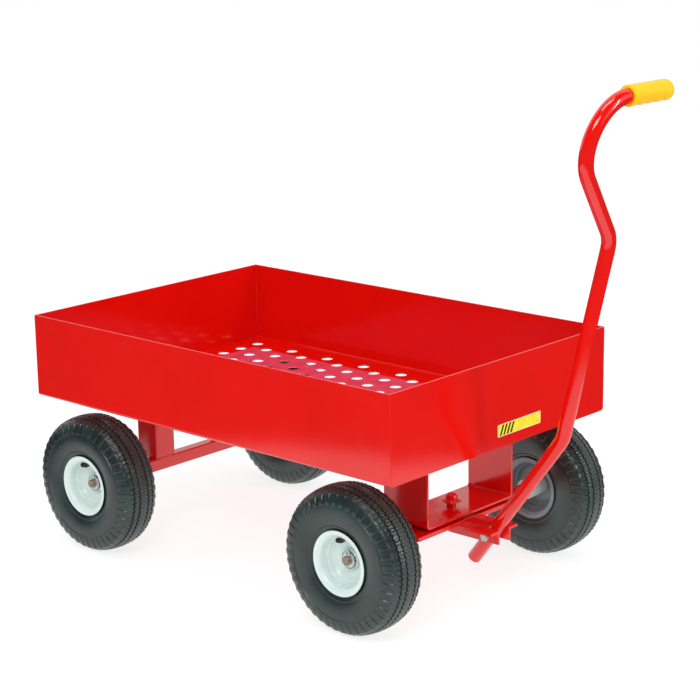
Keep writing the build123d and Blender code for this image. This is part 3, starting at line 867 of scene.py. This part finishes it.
def tyre_outline():
    """Half of the section, from the middle of the tread to the bead and back inside."""
    half = [(0.0, crown(0.0)), (5.0 * MM, crown(5.0 * MM))]
    for groove in GROOVES:
        a0, a1 = groove - GROOVE_W / 2, groove + GROOVE_W / 2
        half += [(a0 - 0.7 * MM, crown(a0)), (a0, crown(a0) - 0.5 * MM)]
        half += [(a0 + 0.5 * MM, crown(a0) - GROOVE_D), (a1 - 0.5 * MM, crown(a1) - GROOVE_D)]
        half += [(a1, crown(a1) - 0.5 * MM), (a1 + 0.7 * MM, crown(a1))]
        half.append((a1 + 3.5 * MM, crown(a1 + 3.5 * MM)))
    half += [(31.5 * MM, crown(31.5 * MM)), (33.4 * MM, 126.9 * MM), (34.4 * MM, 125.8 * MM)]
    # Shoulder and sidewall: points on a smooth curve that leaves the tread at the bars.
    half += [(35.6 * MM, 124.4 * MM), (37.6 * MM, 121.2 * MM), (39.2 * MM, 117.6 * MM)]
    half += [(40.5 * MM, 113.6 * MM), (41.4 * MM, 109.6 * MM), (41.9 * MM, 107.2 * MM)]
    half += [(42.1 * MM, 105.4 * MM), (43.1 * MM, 104.6 * MM), (43.2 * MM, 103.0 * MM)]
    half += [(42.3 * MM, 102.2 * MM), (42.6 * MM, 98.0 * MM), (42.5 * MM, 92.0 * MM)]
    half += [(41.8 * MM, 85.0 * MM), (40.5 * MM, 78.0 * MM), (38.9 * MM, 72.0 * MM)]
    half += [(37.8 * MM, 69.0 * MM), (38.1 * MM, 67.6 * MM), (37.4 * MM, 66.0 * MM)]
    half += [(35.6 * MM, 63.0 * MM), (34.4 * MM, 60.8 * MM), (34.3 * MM, 53.0 * MM)]
    half += [(25.4 * MM, 51.2 * MM), (25.6 * MM, 59.0 * MM), (31.5 * MM, 72.0 * MM)]
    half += [(35.5 * MM, 90.0 * MM), (33.5 * MM, 106.0 * MM), (24.0 * MM, 119.5 * MM)]
    return half + [(0.0, 125.0 * MM)]


def tyre_rubber():
    """Moulded black rubber: dull charcoal with a chalky bloom on the outer faces."""
    material, tree, shader, place = new_material(
        "moulded_tyre_rubber", IOR=1.5, Specular_IOR_Level=0.75
    )
    bloom = add_node(tree, "ShaderNodeTexNoise", {"Vector": place, "Scale": 16.0, "Detail": 6.0})
    colour = add_node(
        tree,
        "ShaderNodeValToRGB",
        {"Fac": bloom.outputs["Fac"]},
        stops=[(0.3, "#142320"), (0.7, "#273A36")],
    ).outputs["Color"]
    tree.links.new(colour, shader.inputs["Base Color"])
    gloss = add_node(
        tree, "ShaderNodeMapRange", {"Value": bloom.outputs["Fac"], "To Min": 0.26, "To Max": 0.40}
    )
    tree.links.new(gloss.outputs["Result"], shader.inputs["Roughness"])
    grain = add_node(tree, "ShaderNodeTexNoise", {"Vector": place, "Scale": 700.0, "Detail": 3.0})
    bump = add_node(
        tree,
        "ShaderNodeBump",
        {"Height": grain.outputs["Fac"], "Strength": 0.25, "Distance": 0.15 * MM},
    )
    tree.links.new(bump.outputs["Normal"], shader.inputs["Normal"])
    return material


def wheel_mesh(points, steps):
    """An outline of (outward, radius) points spun round the Y axis at the origin."""
    return spun(points, Vector((0, 0, 0)), (0, 1, 0), steps, outward=(0, 0, 1))


def triangle(turns):
    """A zigzag from -1 to 1 and back, once for each whole turn."""
    return 4.0 * abs((turns % 1.0) - 0.5) - 1.0


half = tyre_outline()
outline = [(-a, r) for a, r in half[::-1]][:-1] + half
bm = wheel_mesh(outline, STEPS)
# Height of the shoulder over one pitch: a bar with steep sides, then the gap after it.
bars = (0.0, 0.9, 1.0, 1.0, 1.0, 1.0, 0.9, 0.0, -0.1, -0.1, -0.1, -0.1)
for vert in bm.verts:
    across, radius = vert.co.y, math.hypot(vert.co.x, vert.co.z)
    step = round(math.atan2(vert.co.x, vert.co.z) / math.tau * STEPS) % STEPS
    outward = Vector((vert.co.x, 0, vert.co.z)) / radius
    if radius > GROOVE_FLOOR and abs(across) < TREAD_EDGE:
        swing = math.cos(math.pi * (abs(across) - GROOVES[0]) / (GROOVES[1] - GROOVES[0]))
        vert.co.y += ZIGZAG * swing * triangle(step / 6)
        if radius > RIB_TOP and step % 4 == 1:
            vert.co -= outward * SIPE_D
    if abs(across) > TREAD_EDGE and radius > BAR_FOOT:
        # Bars rise out of the shoulder and end in a step above the raised ring.
        rise = BAR_H * bars[step % 12] * min(1.0, (radius - BAR_FOOT) / (2.2 * MM))
        if radius > BAR_TOP:
            vert.co -= outward * (NOTCH if bars[step % 12] <= 0 else 0.0)
        else:
            vert.co += outward * rise * 0.25
            vert.co.y += math.copysign(rise * 0.8, across)
tyre_data = bpy.data.meshes.new("tyre_pattern")
bmesh.ops.recalc_face_normals(bm, faces=bm.faces)
bm.to_mesh(tyre_data)
bm.free()

rubber = tyre_rubber()
WHEELS = [f"{end}_{hand}" for end in ("front", "rear") for hand in ("right", "left")]


def on_wheel(wheel):
    """Puts a piece modelled round the origin, outward along +Y, at a wheel."""
    centre = Vector(joints[f"{wheel}_roll"]["pos_m"])
    half_turn = Matrix.Rotation(0.0 if centre.y > 0 else math.pi, 4, "Z")
    return Matrix.Translation(centre) @ half_turn


def fit_to_wheels(data, part, name, material, crease=35.0):
    """A copy of one mesh on each of the four wheels, in place of its CAD node."""
    for wheel in WHEELS:
        bm = bmesh.new()
        bm.from_mesh(data)
        bmesh.ops.transform(bm, matrix=on_wheel(wheel), verts=bm.verts)
        piece = finish_mesh(bm, f"{wheel}_{name}", material, crease)
        stands_for(piece, f"{wheel}_{part}")


def as_data(bm, name):
    """The bmesh as mesh data, ready to be copied to the wheels."""
    bmesh.ops.recalc_face_normals(bm, faces=bm.faces)
    data = bpy.data.meshes.new(name)
    bm.to_mesh(data)
    bm.free()
    return data


fit_to_wheels(tyre_data, "tyre", "treaded_tyre", rubber, crease=28.0)

# ---------------------------------------------------------------- rims
# Two dishes pressed from 2 mm sheet and welded back to back on the hub. The outer one is
# stove-enamelled white, and the inner one is painted slate grey as painted shade.


def rim_enamel(name, hex_low, hex_high):
    """Stoved enamel with a cool cast, glossy, with a haze of handling marks."""
    material, tree, shader, place = new_material(name, IOR=1.5)
    cloud = add_node(tree, "ShaderNodeTexNoise", {"Vector": place, "Scale": 22.0, "Detail": 5.0})
    colour = add_node(
        tree,
        "ShaderNodeValToRGB",
        {"Fac": cloud.outputs["Fac"]},
        stops=[(0.3, hex_low), (0.7, hex_high)],
    ).outputs["Color"]
    tree.links.new(colour, shader.inputs["Base Color"])
    gloss = add_node(
        tree, "ShaderNodeMapRange", {"Value": cloud.outputs["Fac"], "To Min": 0.15, "To Max": 0.3}
    )
    tree.links.new(gloss.outputs["Result"], shader.inputs["Roughness"])
    peel = add_node(tree, "ShaderNodeTexNoise", {"Vector": place, "Scale": 350.0, "Detail": 1.0})
    bump = add_node(
        tree,
        "ShaderNodeBump",
        {"Height": peel.outputs["Fac"], "Strength": 0.06, "Distance": 0.3 * MM},
    )
    tree.links.new(bump.outputs["Normal"], shader.inputs["Normal"])
    return material


white_rim = rim_enamel("stoved_white_enamel", "#D3E2DE", "#DFEDE9")
# Painted shade: the inner dishes take a darker slate grey copy of the white enamel.
rim_grey_painted_shade = rim_enamel("rim_enamel_painted_shade", "#6E7C80", "#7F8D91")
# Points in millimetres: outward from the wheel's middle plane, then from the axle.
rim_line = [(2.0, 19.2), (2.0, 27.0), (2.1, 31.0), (2.8, 34.2), (4.6, 37.6), (7.4, 40.6)]
rim_line += [(10.6, 42.8), (13.6, 44.0), (15.2, 44.6), (16.2, 45.8), (17.0, 46.8), (19.0, 47.2)]
rim_line += [(30.6, 48.0), (32.4, 48.6), (33.6, 49.9), (34.6, 51.2), (35.8, 52.2), (36.3, 53.6)]
rim_line += [(36.4, 57.4), (36.7, 58.7), (37.4, 59.3)]
for part, flip, finish in (("rim_outer_half", 1, white_rim), ("rim_inner_half", -1, rim_grey_painted_shade)):
    bm = wheel_mesh([(flip * a * MM, r * MM) for a, r in rim_line], 128)
    # The sheet's thickness goes to the side that faces the tyre.
    skin = as_data(bm, part)
    for wheel in WHEELS:
        bm = bmesh.new()
        bm.from_mesh(skin)
        bmesh.ops.transform(bm, matrix=on_wheel(wheel), verts=bm.verts)
        rim = finish_mesh(bm, f"{wheel}_{part}_dish", finish, crease=50.0)
        gauge = rim.modifiers.new("sheet", "SOLIDIFY")
        gauge.thickness = 1.6 * MM
        gauge.offset = -1.0 if flip > 0 else 1.0
        ease = rim.modifiers.new("rolled_edge", "BEVEL")
        ease.width = 0.4 * MM
        ease.segments = 2
        ease.limit_method = "ANGLE"
        ease.angle_limit = math.radians(50)
        stands_for(rim, f"{wheel}_{part}")

# ---------------------------------------------------------------- hubs and bearings
# A hub tube welded through both dishes carries a shielded ball bearing in each end. The
# inner tube is thin butyl rubber blown up against the tyre.

HUB_BORE = 17.4 * MM
AXLE_R = 8.0 * MM
BEARING_W = 11.0 * MM
HUB_OUT = 9.5 * MM
HUB_IN = 47.65 * MM
SHIELD_DEEP = 0.9 * MM

# Half of a bearing's section: inner race, recessed shield, outer race.
race = [(0.0, AXLE_R), (0.0, AXLE_R + 2.2 * MM), (-SHIELD_DEEP, AXLE_R + 2.4 * MM)]
race += [(-SHIELD_DEEP, HUB_BORE - 2.4 * MM), (0.0, HUB_BORE - 2.2 * MM), (0.0, HUB_BORE - 0.3 * MM)]
race += [(-0.3 * MM, HUB_BORE)]
both = bmesh.new()
for face in (HUB_OUT, BEARING_W - HUB_IN):
    section = [(face + a, r) for a, r in race]
    section += [(2 * face - BEARING_W - a, r) for a, r in section[::-1]]
    one = as_data(wheel_mesh(section + section[:1], 48), "one_bearing")
    both.from_mesh(one)
    bpy.data.meshes.remove(one)
race_steel = bare_steel("ground_bearing_steel", "#8D9294", "#BEC3C4", 0.25)
bearing_data = as_data(both, "bearing_pair")
fit_to_wheels(bearing_data, "bearings", "ball_bearings", race_steel)
for wheel in WHEELS:
    eased_plate(f"{wheel}_hub_tube", f"{wheel}_welded_hub", white_rim, 0.35 * MM)
    eased_plate(f"{wheel}_inner_tube", f"{wheel}_butyl_tube", nylon, 0.1 * MM, segments=1)

# ---------------------------------------------------------------- valves
# A bent brass valve stands in each wheel's outer dish, held by a hexagon nut on the rim,
# with a ribbed black plastic cap screwed on its end.

VALVE_PLANE = 19.0 * MM
VALVE_FOOT = 49.0 * MM  # from the axle
VALVE_BEND = 36.5 * MM
VALVE_TILT = math.radians(20)
VALVE_REACH = 12.5 * MM


def brass_metal():
    """Turned brass gone dull: warm metal with darker spots."""
    material, tree, shader, place = new_material("turned_brass", Metallic=1.0)
    spots = add_node(tree, "ShaderNodeTexNoise", {"Vector": place, "Scale": 300.0, "Detail": 4.0})
    colour = add_node(
        tree,
        "ShaderNodeValToRGB",
        {"Fac": spots.outputs["Fac"]},
        stops=[(0.35, "#6A4A26"), (0.65, "#A9854A")],
    ).outputs["Color"]
    tree.links.new(colour, shader.inputs["Base Color"])
    gloss = add_node(
        tree, "ShaderNodeMapRange", {"Value": spots.outputs["Fac"], "To Min": 0.25, "To Max": 0.45}
    )
    tree.links.new(gloss.outputs["Result"], shader.inputs["Roughness"])
    return material


brass = brass_metal()
leaning = Vector((0, math.cos(VALVE_TILT), math.sin(VALVE_TILT)))
elbow = Vector((0, VALVE_PLANE, VALVE_BEND))
tip = elbow + leaning * VALVE_REACH
stem = bent_tube([Vector((0, VALVE_PLANE, VALVE_FOOT)), elbow, tip], [5.0 * MM], 3.0 * MM, 20)
bmesh.ops.holes_fill(stem, edges=stem.edges)
nut = bmesh.ops.create_cone(
    stem,
    cap_ends=True,
    segments=6,
    radius1=5.8 * MM,
    radius2=5.8 * MM,
    depth=3.2 * MM,
    matrix=Matrix.Translation((0, VALVE_PLANE, VALVE_FOOT - 3.4 * MM)),
)
rims = {edge for vert in nut["verts"] for edge in vert.link_edges}
bmesh.ops.bevel(
    stem, geom=list(rims), offset=0.4 * MM, segments=2, profile=0.5, affect="EDGES", material=-1
)
# A knurled collar where the core housing is swaged on.
collar = [(0.0, 0.0), (0.0, 3.4 * MM), (0.5 * MM, 4.0 * MM), (2.5 * MM, 4.0 * MM)]
collar += [(3.0 * MM, 3.4 * MM), (3.0 * MM, 0.0)]
ring = as_data(spun(collar, elbow + leaning * 7.0 * MM, leaning, 24), "collar")
stem.from_mesh(ring)
bpy.data.meshes.remove(ring)
stem_data = as_data(stem, "bent_valve")
fit_to_wheels(stem_data, "valve_stem", "brass_valve", brass)

CAP_R = 4.7 * MM
CAP_RIBS = 16
shell = [(0.0, 0.0), (0.0, CAP_R - 0.4 * MM), (0.4 * MM, CAP_R), (4.0 * MM, CAP_R)]
shell += [(4.4 * MM, CAP_R - 0.7 * MM), (5.4 * MM, CAP_R - 0.7 * MM), (5.8 * MM, CAP_R)]
shell += [(10.0 * MM, CAP_R), (11.2 * MM, CAP_R - 0.8 * MM), (11.6 * MM, CAP_R - 2.4 * MM)]
cap = spun(shell + [(11.6 * MM, 0.0)], tip - leaning * 2.0 * MM, leaning, CAP_RIBS * 3)
side = leaning.orthogonal().normalized()
for vert in cap.verts:
    off = vert.co - tip
    off -= leaning * off.dot(leaning)
    if off.length > CAP_R - 0.9 * MM:
        turn = math.atan2(off.dot(leaning.cross(side)), off.dot(side)) / math.tau * CAP_RIBS
        if round(turn * 3) % 3 == 0:
            vert.co -= off.normalized() * 0.35 * MM
cap_data = as_data(cap, "ribbed_cap")
fit_to_wheels(cap_data, "valve_cap", "ribbed_valve_cap", nylon)
